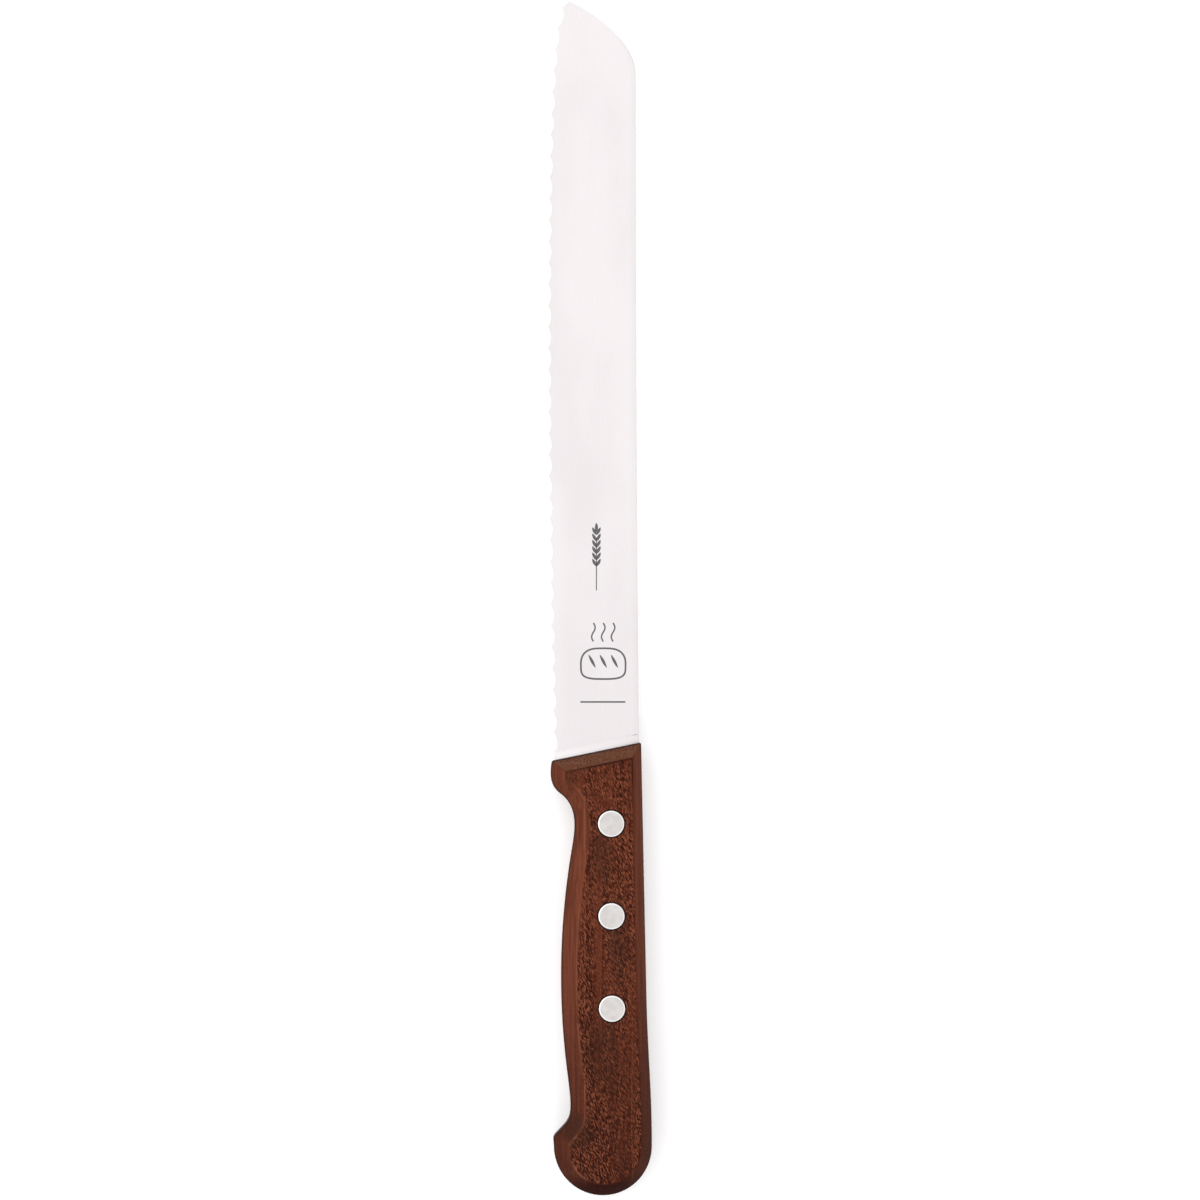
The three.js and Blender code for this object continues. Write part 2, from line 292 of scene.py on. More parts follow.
def object_from(bm, name, smooth_angle=35):
    bmesh.ops.remove_doubles(bm, verts=bm.verts, dist=1e-7)
    bmesh.ops.dissolve_degenerate(bm, edges=bm.edges, dist=1e-8)
    bmesh.ops.recalc_face_normals(bm, faces=bm.faces)
    mesh = bpy.data.meshes.new(name)
    bm.to_mesh(mesh)
    bm.free()
    piece = bpy.data.objects.new(name, mesh)
    bpy.context.scene.collection.objects.link(piece)
    shade(piece, smooth_angle)
    return piece


def shade(piece, smooth_angle):
    piece.data.shade_smooth()
    piece.data.set_sharp_from_angle(angle=math.radians(smooth_angle))


def tube(bm, loops, cap_start=True, cap_end=True):
    """Faces between loops of matching 3-D points in millimetres, with optional end caps."""
    rows = [[bm.verts.new(Vector(p) * MM) for p in loop] for loop in loops]
    for low, high in zip(rows, rows[1:]):
        for i in range(len(low)):
            j = (i + 1) % len(low)
            bm.faces.new((low[i], low[j], high[j], high[i]))
    if cap_start:
        bm.faces.new(rows[0][::-1])
    if cap_end:
        bm.faces.new(rows[-1])
    return rows


def turned(name, profile, x, y, segments=96, smooth_angle=35):
    """A closed round body about the vertical line at x, y. The profile is [radius, height]."""
    bm = bmesh.new()
    loops = []
    for radius, height in profile:
        ring = []
        for k in range(segments):
            angle = 2 * math.pi * k / segments
            ring.append((x + radius * math.cos(angle), y + radius * math.sin(angle), height))
        loops.append(ring)
    tube(bm, loops)
    return object_from(bm, name, smooth_angle)


def block(name, low, high):
    bm = bmesh.new()
    size = Vector(high) - Vector(low)
    centre = (Vector(high) + Vector(low)) / 2
    place = Matrix.Translation(centre * MM) @ Matrix.Diagonal((*(size * MM), 1))
    bmesh.ops.create_cube(bm, size=1, matrix=place)
    return object_from(bm, name)


def cut(piece, cutters, smooth_angle=35):
    """Subtracts the cutters from the piece and deletes them."""
    for cutter in cutters:
        modifier = piece.modifiers.new("cut", "BOOLEAN")
        modifier.operation = "DIFFERENCE"
        modifier.solver = "EXACT"
        modifier.object = cutter
    evaluated = piece.evaluated_get(bpy.context.evaluated_depsgraph_get())
    mesh = bpy.data.meshes.new_from_object(evaluated)
    piece.modifiers.clear()
    old = piece.data
    piece.data = mesh
    bpy.data.meshes.remove(old)
    mesh.name = piece.name
    for cutter in cutters:
        bpy.data.objects.remove(cutter)
    shade(piece, smooth_angle)


# ---- Handle ----------------------------------------------------------------------------------

def facet_profile():
    """The handle's section from the flat lower side round to the upper one. Each row is the share
    of the facet's width, an extra inset, the height, and how far the row is on the inner ridge and
    on the outer rim."""
    soft = RIDGE_SOFTNESS
    along = soft / math.hypot(FACET_DROP, 3.0)
    lower = [(1, 1.6, 0, 0, 0), (1, soft, 0, 0.1, 0)]
    for t in (0.33, 0.67):
        drop = along * t * t
        lower.append((1 - drop, soft * (1 - t) ** 2, FACET_DROP * drop, 1, 0))
    lower.append((1 - along, 0, FACET_DROP * along, 0.1, 0))
    lower.append((0.5, 0, FACET_DROP / 2, 0, 0))
    lower.append((along, 0, FACET_DROP * (1 - along), 0, 0.1))
    for t in (0.33, 0.67):
        share = along * (1 - t) ** 2
        lower.append((share, 0, FACET_DROP * (1 - share) + soft * t * t, 0, 1))
    half = MID - FACET_DROP - soft
    for t, rim in ((0, 1), (0.3, 0), (0.65, 0)):
        lower.append((0, -WALL_CROWN * (1 - (1 - t) ** 2), FACET_DROP + soft + half * t, 0, rim))
    middle = [(0, -WALL_CROWN, MID, 0, 0)]
    upper = [(row[0], row[1], THICKNESS - row[2], *row[3:]) for row in reversed(lower)]
    return lower + middle + upper


def make_handle():
    stretches = handle_stretches()
    bm = bmesh.new()
    profile = facet_profile()
    ridge = bm.verts.layers.float.new("ridge")
    rim = bm.verts.layers.float.new("rim")
    loops = []
    for share, extra, height, _, _ in profile:
        loops.append([(p.x, p.y, height) for p in handle_ring(stretches, share, extra)])
    for row, (_, _, _, on_ridge, on_rim) in zip(tube(bm, loops), profile):
        for vert in row:
            vert[ridge] = on_ridge
            vert[rim] = on_rim
    handle = object_from(bm, "slotted_handle")
    low = (SLOT_END, -SLOT_REACH, MID - SLOT_WIDTH / 2)
    high = (SLOT_FRONT, SLOT_REACH, MID + SLOT_WIDTH / 2)
    cutters = [block("slot", low, high)]
    for x, y, radius in rivet_places():
        hole = SOCKET_RADIUS + CLEARANCE
        wide = radius + CLEARANCE
        floor = HEAD_THICKNESS + CLEARANCE
        lip = HOLE_LIP
        profile = [(wide + lip + 1, -1), (wide + lip, 0), (wide, lip), (wide, floor), (hole, floor)]
        profile += [(r, THICKNESS - z) for r, z in reversed(profile)]
        cutters.append(turned("hole", profile, x, y))
    cut(handle, cutters)
    return handle


def rivet_places():
    places = []
    for name in RIVET_NAMES:
        low, high = box_mm(f"{name}_rivet_stud")
        centre = (low + high) / 2
        places.append((centre.x, centre.y, (high.x - low.x) / 2))
    return places


# ---- Blade -----------------------------------------------------------------------------------

def ground_thickness(x, y):
    along_spine = (SPINE_AT_TIP - SHEET) / (TIP.x - SPINE_HEEL.x)
    across = (EDGE_AT_HEEL - SHEET) / (EDGE_HEEL.y - SPINE_HEEL.y)
    return SHEET + along_spine * (x - SPINE_HEEL.x) + across * (y - SPINE_HEEL.y)


class Flute:
    """A shallow round groove between two tooth points, ground from the lower face."""

    def __init__(self, tooth, following):
        self.half = (following - tooth).length / 2
        self.along = (following - tooth).normalized()
        self.inward = Vector((self.along.y, -self.along.x))
        middle = (tooth + following) / 2
        self.valley = middle + self.inward * SCALLOP_DEPTH
        self.height = MID + ground_thickness(middle.x, middle.y) / 2
        sag = SCALLOP_DEPTH * math.sin(FLUTE_ANGLE)
        self.radius = (self.half ** 2 + sag ** 2) / (2 * sag)

    def floor(self, p):
        """Height of the groove's surface at a point, seen from above."""
        away = p - self.valley
        u, v = away.dot(self.along), away.dot(self.inward)
        sag = self.radius - math.sqrt(max(self.radius ** 2 - u * u, 0))
        return self.height - v * math.tan(FLUTE_ANGLE) - sag / math.cos(FLUTE_ANGLE)


def teeth_points():
    curve = bezier(EDGE_HEEL, Vector((-42.6, 13.5)), Vector((157.3, 17.4)), EDGE_TIP, 400)
    return resampled(curve, FLUTE_COUNT + 1)


def height_at(points, x):
    """y of a polyline that runs one way in x."""
    for a, b in zip(points, points[1:]):
        if min(a.x, b.x) <= x <= max(a.x, b.x) and a.x != b.x:
            return a.y + (b.y - a.y) * (x - a.x) / (b.x - a.x)
    return points[0].y if abs(x - points[0].x) < abs(x - points[-1].x) else points[-1].y


def solve(function, low, high):
    """A root of a function that falls through zero once between low and high."""
    for _ in range(40):
        middle = (low + high) / 2
        if function(middle) > 0:
            low = middle
        else:
            high = middle
    return (low + high) / 2


EDGE_ROWS = 6
FACE_ROWS = 8


def blade_section(spine, edge, thickness, floor):
    """One closed loop across the blade, from the spine to the edge over the upper face and back
    under the lower one. thickness(p) is that of the sheet, and floor(p) the height of a flute's
    surface. The row where the flute runs out lies exactly on its border."""
    width = (edge - spine).length
    towards = (edge - spine) / width if width > 1e-6 else Vector((0, 1))

    def at(distance):
        return spine + towards * distance

    def upper(p):
        return MID + thickness(p) / 2

    def lower(p):
        return MID - thickness(p) / 2

    depth = solve(lambda d: lower(at(d)) - floor(at(d)), max(width - 8, 0), width)
    rounding = min(SPINE_ROUNDING, width / 3)
    loop = []
    for i in range(FACE_ROWS + EDGE_ROWS + 1):
        share = i / (FACE_ROWS + EDGE_ROWS)
        p = at(rounding + (width - rounding) * share)
        loop.append((p.x, p.y, upper(p)))
    for i in range(EDGE_ROWS + 1):
        p = at(width + (depth - width) * i / EDGE_ROWS)
        loop.append((p.x, p.y, min(max(floor(p), lower(p)), upper(p))))
    for i in range(1, FACE_ROWS + 1):
        p = at(depth + (rounding - depth) * i / FACE_ROWS)
        loop.append((p.x, p.y, lower(p)))
    top, bottom = upper(at(rounding)), lower(at(rounding))
    corner = min(rounding, (top - bottom) / 2.2)
    for turn in (0.25, 0.5, 0.75, 1):
        angle = turn * math.pi / 2
        p = at(rounding - rounding * math.sin(angle))
        loop.append((p.x, p.y, bottom + corner * (1 - math.cos(angle))))
    for turn in (0.0, 0.25, 0.5, 0.75):
        angle = (1 - turn) * math.pi / 2
        p = at(rounding - rounding * math.sin(angle))
        loop.append((p.x, p.y, top - corner * (1 - math.cos(angle))))
    return loop


def no_floor(_):
    return -100.0


def make_blade():
    teeth = teeth_points()
    flutes = [Flute(a, b) for a, b in zip(teeth, teeth[1:])]
    spine_line = joined(
        quadratic(SPINE_HEEL, Vector((50, -10.05)), CLIP_START, 80),
        bezier(CLIP_START, Vector((153, -10.1)), Vector((161.5, -3)), TIP, 80),
    )
    spine_lengths = run_lengths(spine_line)
    slant = (FRONT_SPINE.x - FRONT_BELLY.x) / (FRONT_BELLY.y - FRONT_SPINE.y)
    reach = FRONT_SPINE.x - FRONT_BELLY.x
    loops = []

    def ground(p):
        return ground_thickness(p.x, p.y)

    def sheet(_):
        return SHEET

    # The tang, from its rear end to the handle's slanted front.
    stretches = handle_stretches()
    belly = stretches[0].inset(0, TANG_INSET)
    back = stretches[2].inset(0, TANG_INSET)
    tang_steps = 60
    for i in range(tang_steps + 1):
        share = i / tang_steps
        x_edge = TANG_END + (FRONT_BELLY.x - TANG_END) * share
        x_spine = TANG_END + (FRONT_SPINE.x - TANG_END) * share
        edge = Vector((x_edge, height_at(belly, x_edge)))
        spine = Vector((x_spine, height_at(back, x_spine)))
        loops.append(blade_section(spine, edge, sheet, no_floor))

    # The heel: full sheet up to the plunge, then the ground faces.
    def heel_section(ahead, thickness):
        x_edge = FRONT_BELLY.x + ahead + slant * (FRONT_BELLY.y - EDGE_HEEL.y)
        edge = Vector((x_edge, EDGE_HEEL.y + STOCK))
        spine = Vector((FRONT_SPINE.x + ahead - slant * (SPINE_HEEL.y - FRONT_SPINE.y), SPINE_HEEL.y))
        return blade_section(spine, edge, thickness, no_floor), spine, edge

    plunge_steps = 8
    for i in range(plunge_steps + 1):
        share = i / plunge_steps
        mix = share * share * (3 - 2 * share)
        loop, spine, edge = heel_section(
            TANG_GAP + PLUNGE * share, lambda p, mix=mix: SHEET + (ground(p) - SHEET) * mix)
        loops.append(loop)
    spine_start, edge_start = spine, edge

    # The scalloped edge. The columns lean as the handle's front does and stand up by the tip.
    columns = 12
    total = EDGE_TIP.x - edge_start.x
    for index, flute in enumerate(flutes):
        for k in range(columns + 1):
            if k == columns and index < FLUTE_COUNT - 1:
                continue
            u = -flute.half + 2 * flute.half * k / columns
            middle = (teeth[index] + teeth[index + 1]) / 2
            start = middle + flute.along * u
            out = solve(lambda d: MID + ground(start + flute.inward * d) / 2
                        < flute.floor(start + flute.inward * d), -0.3, SCALLOP_DEPTH + 0.3)
            edge = start + flute.inward * out
            progress = (edge.x - edge_start.x) / total
            lean = reach * (1 - progress) ** 2
            x_spine = edge.x + lean - TIP_PULL * progress ** 12
            spine = Vector((x_spine, height_at(spine_line, x_spine)))
            loops.append(blade_section(spine, edge, ground, flute.floor))

    # The blunt nose, where the clipped back meets the edge.
    last = flutes[-1]
    nose_steps = 8
    x_last = x_spine
    for k in range(1, nose_steps + 1):
        share = k / nose_steps
        edge = EDGE_TIP.lerp(TIP, share)
        x_spine = x_last + (TIP.x - x_last) * share
        spine = Vector((x_spine, height_at(spine_line, x_spine)))
        loops.append(blade_section(spine, edge, ground, last.floor))

    bm = bmesh.new()
    tube(bm, loops)
    blade = object_from(bm, "scalloped_blade", 18)
    drills = []
    for x, y, _ in rivet_places():
        drills.append(turned("drill", [(TANG_HOLE_RADIUS, 0), (TANG_HOLE_RADIUS, THICKNESS)], x, y))
    cut(blade, drills, 18)
    return blade


# ---- Rivets ----------------------------------------------------------------------------------

def head_rim(radius, flat, bevel):
    """A rivet head's edge, from its side up to its face: a rounded corner, then a wide shallow
    bevel, and a face with a trace of crown."""
    return [
        (radius, flat - bevel),
        (radius - 0.02, flat - bevel * 0.75),
        (radius - 0.08, flat - bevel * 0.52),
        (radius - 0.2, flat - bevel * 0.34),
        (radius - 0.45, flat - bevel * 0.06),
        (radius - 0.6, flat - 0.012),
        (radius * 0.5, flat - 0.004),
        (radius * 0.15, flat),
    ]


def make_rivet(name, x, y, radius):
    top = THICKNESS
    stud = [(PIN_RADIUS - 0.4, PIN_BOTTOM), (PIN_RADIUS, PIN_BOTTOM + 0.8),
            (PIN_RADIUS, top - HEAD_THICKNESS), (radius, top - HEAD_THICKNESS)]
    stud += head_rim(radius, top, HEAD_BEVEL)[1:]
    bore = PIN_RADIUS + CLEARANCE
    socket = [(bore * 0.3, BORE_BOTTOM), (bore, BORE_BOTTOM), (bore, SOCKET_TOP),
              (SOCKET_RADIUS, SOCKET_TOP), (SOCKET_RADIUS, HEAD_THICKNESS),
              (radius, HEAD_THICKNESS)]
    socket += [(r, -z) for r, z in head_rim(radius, 0, HEAD_BEVEL)[1:]]
    pieces = []
    for half, profile in (("stud", stud), ("socket", socket)):
        piece = turned(f"{name}_{half}_fine", profile, x, y, smooth_angle=40)
        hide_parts(f"{name}_rivet_{half}")
        pieces.append(piece)
    return pieces


# ---- Marks etched on the blade ---------------------------------------------------------------

def lens_shape(centre, direction, length, width, count=9):
    """A pointed grain shape."""
    side = Vector((-direction.y, direction.x))
    points = []
    for sign in (1, -1):
        for i in range(count):
            share = i / count if sign > 0 else 1 - i / count
            bulge = math.sin(share * math.pi) ** 0.8 * width / 2
            points.append(centre + direction * (share - 0.5) * length + side * sign * bulge)
    return points


def ribbon(points, width, closed=False):
    """Quads along a line, as lists of corners."""
    sides = []
    count = len(points)
    for i, p in enumerate(points):
        before = points[i - 1] if i or closed else p
        after = points[(i + 1) % count] if i + 1 < count or closed else p
        along = (after - before).normalized()
        offset = Vector((-along.y, along.x)) * width / 2
        sides.append((p + offset, p - offset))
    quads = []
    for i in range(count if closed else count - 1):
        (a, b), (c, d) = sides[i], sides[(i + 1) % count]
        quads.append([a, b, d, c])
    return quads


def wheat_ear(foot, length):
    """An ear of wheat that grows along the blade towards the tip."""
    up = Vector((1, 0))
    shapes = ribbon([foot + up * length * t for t in (0, 0.25, 0.5, 0.8)], 0.28)
    pairs = 6
    for i in range(pairs):
        base = foot + up * length * (0.36 + 0.095 * i)
        for sign in (1, -1):
            lean = math.radians(28)
            direction = Vector((math.cos(lean), sign * math.sin(lean)))
            shapes.append(lens_shape(base + direction * 1.25, direction, 2.5, 0.85))
    shapes.append(lens_shape(foot + up * (length - 0.9), up, 2.6, 0.9))
    return shapes


def loaf(centre, width, height):
    """A plain loaf with three cuts in its crust, and steam above it."""
    across, up = Vector((0, 1)), Vector((1, 0))
    outline = []
    for k in range(48):
        angle = 2 * math.pi * k / 48
        c, s = math.cos(angle), math.sin(angle)
        round_x = math.copysign(abs(c) ** 0.62, c)
        round_y = math.copysign(abs(s) ** (0.9 if s > 0 else 0.45), s)
        outline.append(centre + across * round_x * width / 2 + up * round_y * height / 2)
    shapes = ribbon(outline, 0.5, closed=True)
    cut_way = Vector((math.cos(math.radians(28)), math.sin(math.radians(28))))
    for k in (-1, 0, 1):
        middle = centre + across * k * width * 0.25 + up * height * 0.08
        shapes.append(lens_shape(middle, cut_way, height * 0.5, 0.8))
    for k in (-1, 0, 1):
        line = []
        for i in range(13):
            t = i / 12
            sway = math.sin(t * 2 * math.pi) * 0.5
            line.append(centre + across * (k * width * 0.22 + sway) + up * (height * 0.72 + t * 5.2))
        shapes += ribbon(line, 0.42)
    return shapes


def make_marks():
    foot = Vector((2.0, 0.9))
    shapes = wheat_ear(foot, 18.5)
    shapes += loaf(Vector((-18.5, -1.0)), 12.5, 8.6)
    shapes += ribbon([Vector((-29.2, 5.4)), Vector((-29.2, -7.2))], 0.45)
    bm = bmesh.new()
    sunk, film = 0.01, 0.03
    for shape in shapes:
        verts = []
        for p in shape:
            z = MID + ground_thickness(p.x, p.y) / 2 - sunk
            verts.append(bm.verts.new(Vector((p.x, p.y, z)) * MM))
        bm.faces.new(verts)
    bmesh.ops.remove_doubles(bm, verts=bm.verts, dist=1e-8)
    grown = bmesh.ops.extrude_face_region(bm, geom=bm.faces[:])
    lifted = [g for g in grown["geom"] if isinstance(g, bmesh.types.BMVert)]
    bmesh.ops.translate(bm, verts=lifted, vec=(0, 0, film * MM))
    return object_from(bm, "etched_marks")


# ---- Material nodes --------------------------------------------------------------------------

class Shader:
    """A short way to write a procedural material."""

    def __init__(self, name):
        self.material = bpy.data.materials.new(name)
        self.material.use_nodes = True
        self.tree = self.material.node_tree
        self.bsdf = self.tree.nodes["Principled BSDF"]
        self.place = self.new("ShaderNodeTexCoord")

    def new(self, kind, **settings):
        node = self.tree.nodes.new(kind)
        for key, value in settings.items():
            setattr(node, key, value)
        return node

    def feed(self, socket, value):
        if isinstance(value, bpy.types.NodeSocket):
            self.tree.links.new(value, socket)
        else:
            socket.default_value = value

    def set(self, name, value):
        self.feed(self.bsdf.inputs[name], value)

    def math(self, operation, a, b=0.0, c=0.0, clamp=False):
        node = self.new("ShaderNodeMath", operation=operation, use_clamp=clamp)
        for socket, value in zip(node.inputs, (a, b, c)):
            self.feed(socket, value)
        return node.outputs[0]

    def smooth(self, value, low, high, out_low=0.0, out_high=1.0):
        node = self.new("ShaderNodeMapRange", interpolation_type="SMOOTHSTEP")
        for name, number in (("From Min", low), ("From Max", high),
                             ("To Min", out_low), ("To Max", out_high)):
            node.inputs[name].default_value = number
        self.feed(node.inputs["Value"], value)
        return node.outputs[0]

    def mapped(self, vector, scale, rotation=(0, 0, 0), location=(0, 0, 0)):
        """Coordinates in millimetres, turned, then scaled."""
        turn = self.new("ShaderNodeMapping", vector_type="POINT")
        turn.inputs["Scale"].default_value = (1 / MM,) * 3
        turn.inputs["Rotation"].default_value = rotation
        turn.inputs["Location"].default_value = location
        self.feed(turn.inputs["Vector"], vector)
        stretch = self.new("ShaderNodeVectorMath", operation="MULTIPLY")
        self.feed(stretch.inputs[0], turn.outputs[0])
        stretch.inputs[1].default_value = scale
        return stretch.outputs[0]

    def noise(self, scale, rotation=(0, 0, 0), detail=2.0, roughness=0.5, distortion=0.0,
              location=(0, 0, 0)):
        node = self.new("ShaderNodeTexNoise")
        node.inputs["Scale"].default_value = 1.0
        node.inputs["Detail"].default_value = detail
        node.inputs["Roughness"].default_value = roughness
        node.inputs["Distortion"].default_value = distortion
        vector = self.mapped(self.place.outputs["Object"], scale, rotation, location)
        self.feed(node.inputs["Vector"], vector)
        return node.outputs[0]

    def mix(self, share, a, b, blend="MIX"):
        node = self.new("ShaderNodeMix", data_type="RGBA", blend_type=blend)
        self.feed(node.inputs[0], share)
        self.feed(node.inputs[6], a)
        self.feed(node.inputs[7], b)
        return node.outputs[2]

    def layer(self, base, colour, mask, strength):
        """The colour laid over the base as strongly as the mask says."""
        return self.mix(self.math("MULTIPLY", mask, strength), base, colour)

    def attribute(self, name):
        return self.new("ShaderNodeAttribute", attribute_name=name).outputs["Fac"]

    def axes(self, output):
        node = self.new("ShaderNodeSeparateXYZ")
        self.feed(node.inputs[0], self.place.outputs[output])
        return node.outputs

    def bump(self, height, distance, strength=1.0):
        node = self.new("ShaderNodeBump")
        node.inputs["Strength"].default_value = strength
        node.inputs["Distance"].default_value = distance * MM
        self.feed(node.inputs["Height"], height)
        return node.outputs[0]


def srgb(red, green, blue):
    """A colour given as it is seen on a screen, 0 to 255."""
    def linear(value):
        value /= 255
        return value / 12.92 if value <= 0.04045 else ((value + 0.055) / 1.055) ** 2.4
    return (linear(red), linear(green), linear(blue), 1.0)


def wood_material():
    s = Shader("stained_maple")
    x, y, z = s.axes("Object")
    nx, ny, nz = s.axes("Normal")
    flat = s.smooth(s.math("ABSOLUTE", nz), 0.93, 0.99)
    fine = s.noise((0.05, 3.2, 3.2), detail=3, roughness=0.6)
    fleck = s.noise((0.95, 4.3, 2.1), rotation=(0, 0, math.radians(-27)), detail=1.0,
                    roughness=0.55, distortion=0.1)
    base = wood_tone(s, fine, x, ny)
    base = add_grain_lines(s, base, x, y)
    base = add_flecks(s, base, fleck, flat)
    base = add_pits(s, base, x, y, flat)
    base = add_smudges(s, base, x, y)
    base = add_end_grain_with_painted_light(s, base, x, nx, nz)
    base = add_ridge_highlight_and_rim_shade(s, base, x, y)
    base = add_rivet_outline(s, base, x, y)
    s.set("Base Color", base)

    gloss = s.math("ADD", s.math("MULTIPLY", fine, 0.5), s.math("MULTIPLY", fleck, 0.5))
    s.set("Roughness", s.smooth(gloss, 0.35, 0.65, 0.42, 0.6))
    s.set("Normal", s.bump(gloss, 0.06))
    s.bsdf.inputs["Specular IOR Level"].default_value = 0.03
    return s.material


def wood_tone(s, fine, x, ny):
    """Lengthwise bands of brown, with finer lines in them, darker towards the butt. The belly's facet
    is streaky and painted lighter, as painted light from the lamp on that side, and the spine's facet
    is painted a little lighter too."""
    bands = s.noise((0.012, 0.42, 0.42), detail=3, roughness=0.55, distortion=0.5)
    cloud = s.noise((0.045, 0.11, 0.11), detail=2)
    streaks = s.noise((0.03, 1.3, 0.9), detail=3, roughness=0.6)
    base = s.mix(s.smooth(bands, 0.36, 0.64), srgb(64, 27, 17), srgb(88, 42, 27))
    base = s.layer(base, srgb(46, 26, 16), s.smooth(cloud, 0.5, 0.72), 0.5)
    facet = s.mix(s.smooth(streaks, 0.4, 0.62), srgb(86, 42, 28), srgb(112, 60, 42))
    # Painted light: the belly's facet, which faces the lamp, is laid over with this lighter streaky
    # colour.
    base = s.layer(base, facet, s.smooth(ny, 0.3, 0.6), 0.75)
    # Painted light: the spine's facet is lifted a little with the same lighter colour.
    base = s.layer(base, facet, s.smooth(ny, -0.3, -0.6), 0.3)
    base = s.layer(base, srgb(108, 55, 36), s.smooth(fine, 0.42, 0.66), 0.45)
    return s.layer(base, srgb(44, 18, 12), s.smooth(x, -90 * MM, -165 * MM), 0.62)


GRAIN_LINES = [  # y, half width, colour, strength
    (4.1, 0.22, (134, 78, 56), 0.45),
    (3.3, 0.4, (46, 18, 10), 0.35),
    (-8.3, 0.35, (46, 18, 10), 0.3),
    (-9.0, 0.2, (128, 74, 52), 0.35),
]


def add_grain_lines(s, base, x, y):
    """A few single growth rings that wander a little as they run along the handle."""
    sway = s.noise((0.03, 0.0, 0.0), detail=1)
    swayed = s.math("ADD", y, s.math("MULTIPLY", s.math("SUBTRACT", sway, 0.5), 1.6 * MM))
    fading = s.smooth(s.noise((0.08, 0.1, 0.1), detail=2), 0.35, 0.6, 0.3, 1.0)
    for middle, half_width, colour, strength in GRAIN_LINES:
        away = s.math("ABSOLUTE", s.math("SUBTRACT", swayed, middle * MM))
        line = s.math("MULTIPLY", s.smooth(away, half_width * MM, 0.05 * MM), fading)
        base = s.layer(base, srgb(*colour), line, strength)
    return base


def add_flecks(s, base, fleck, flat):
    """Short light and dark rays that lean across the flat faces, denser in some bands."""
    density = s.noise((0.02, 0.2, 0.2), detail=2, location=(7, 3, 0))
    density = s.smooth(density, 0.38, 0.58, 0.4, 1.0)
    share = s.math("MULTIPLY", s.math("MULTIPLY_ADD", flat, 0.85, 0.15), density)
    light = s.math("MULTIPLY", s.smooth(fleck, 0.54, 0.62), share)
    dark = s.math("MULTIPLY", s.smooth(fleck, 0.48, 0.4), share)
    base = s.layer(base, srgb(128, 72, 50), light, 0.9)
    return s.layer(base, srgb(30, 8, 4), dark, 0.85)


PIT_LINE = -10.4
PIT_REACH = (-152.0, -106.0)


def add_pits(s, base, x, y, flat):
    """A row of dark pits with light rims along one growth ring near the spine."""
    cells = s.new("ShaderNodeTexVoronoi", feature="F1")
    cells.inputs["Scale"].default_value = 1.0
    s.feed(cells.inputs["Vector"], s.mapped(s.place.outputs["Object"], (0.5, 1.1, 0.2)))
    away = s.math("ABSOLUTE", s.math("SUBTRACT", y, PIT_LINE * MM))
    row = s.smooth(away, 0.9 * MM, 0.4 * MM)
    row = s.math("MULTIPLY", row, s.smooth(x, (PIT_REACH[0] - 2) * MM, (PIT_REACH[0] + 2) * MM))
    row = s.math("MULTIPLY", row, s.smooth(x, (PIT_REACH[1] + 2) * MM, (PIT_REACH[1] - 2) * MM))
    row = s.math("MULTIPLY", row, flat)
    rim = s.math("MULTIPLY", s.smooth(cells.outputs["Distance"], 0.42, 0.3), row)
    pit = s.math("MULTIPLY", s.smooth(cells.outputs["Distance"], 0.3, 0.2), row)
    base = s.layer(base, srgb(130, 80, 56), rim, 0.4)
    return s.layer(base, srgb(22, 6, 4), pit, 0.95)


SMUDGES = [  # centre x and y, half length and half width, strength
    (-149.0, 6.0, 6.0, 4.5, 0.55),
    (-72.0, -1.0, 9.0, 4.0, 0.4),
    (-96.0, -5.0, 14.0, 3.0, 0.45),
    (-128.0, -1.0, 12.0, 5.0, 0.25),
]


def add_smudges(s, base, x, y):
    """Places where the stain took darker."""
    for middle_x, middle_y, half_length, half_width, strength in SMUDGES:
        along = s.math("DIVIDE", s.math("SUBTRACT", x, middle_x * MM), half_length * MM)
        across = s.math("DIVIDE", s.math("SUBTRACT", y, middle_y * MM), half_width * MM)
        reach = s.math("ADD", s.math("MULTIPLY", along, along), s.math("MULTIPLY", across, across))
        base = s.layer(base, srgb(48, 28, 20), s.smooth(reach, 1.2, 0.1), strength)
    return base


def add_end_grain_with_painted_light(s, base, x, nx, nz):
    """The butt's end grain soaks up stain and is nearly black, partly as painted shade since it
    faces away from the light; the front's bevel is greyer and lighter, a painted sheen.
    """
    end = s.smooth(s.math("ABSOLUTE", nx), 0.45, 0.75)
    dots = s.noise((2.2, 2.2, 2.2), detail=3, roughness=0.6)
    streaks = s.noise((0.9, 0.5, 0.9), detail=2, distortion=0.3)
    # Partly painted shade: the butt is darker than its end grain alone, as it faces away from the
    # light.
    butt = s.mix(s.smooth(dots, 0.4, 0.62), srgb(30, 4, 1), srgb(50, 12, 3))
    # Painted sheen: the front bevel's end grain is made lighter and greyer, standing in for the light
    # above.
    bevel = s.mix(s.smooth(dots, 0.38, 0.62), srgb(76, 46, 33), srgb(110, 73, 56))
    bevel = s.layer(bevel, srgb(92, 50, 30), s.smooth(streaks, 0.45, 0.6), 0.5)
    front_wall = s.mix(s.smooth(dots, 0.4, 0.62), srgb(36, 12, 8), srgb(52, 20, 12))
    front = s.mix(s.smooth(s.math("ABSOLUTE", nz), 0.25, 0.55), front_wall, bevel)
    at_front = s.smooth(x, -60 * MM, -54 * MM)
    return s.mix(end, base, s.mix(at_front, butt, front))


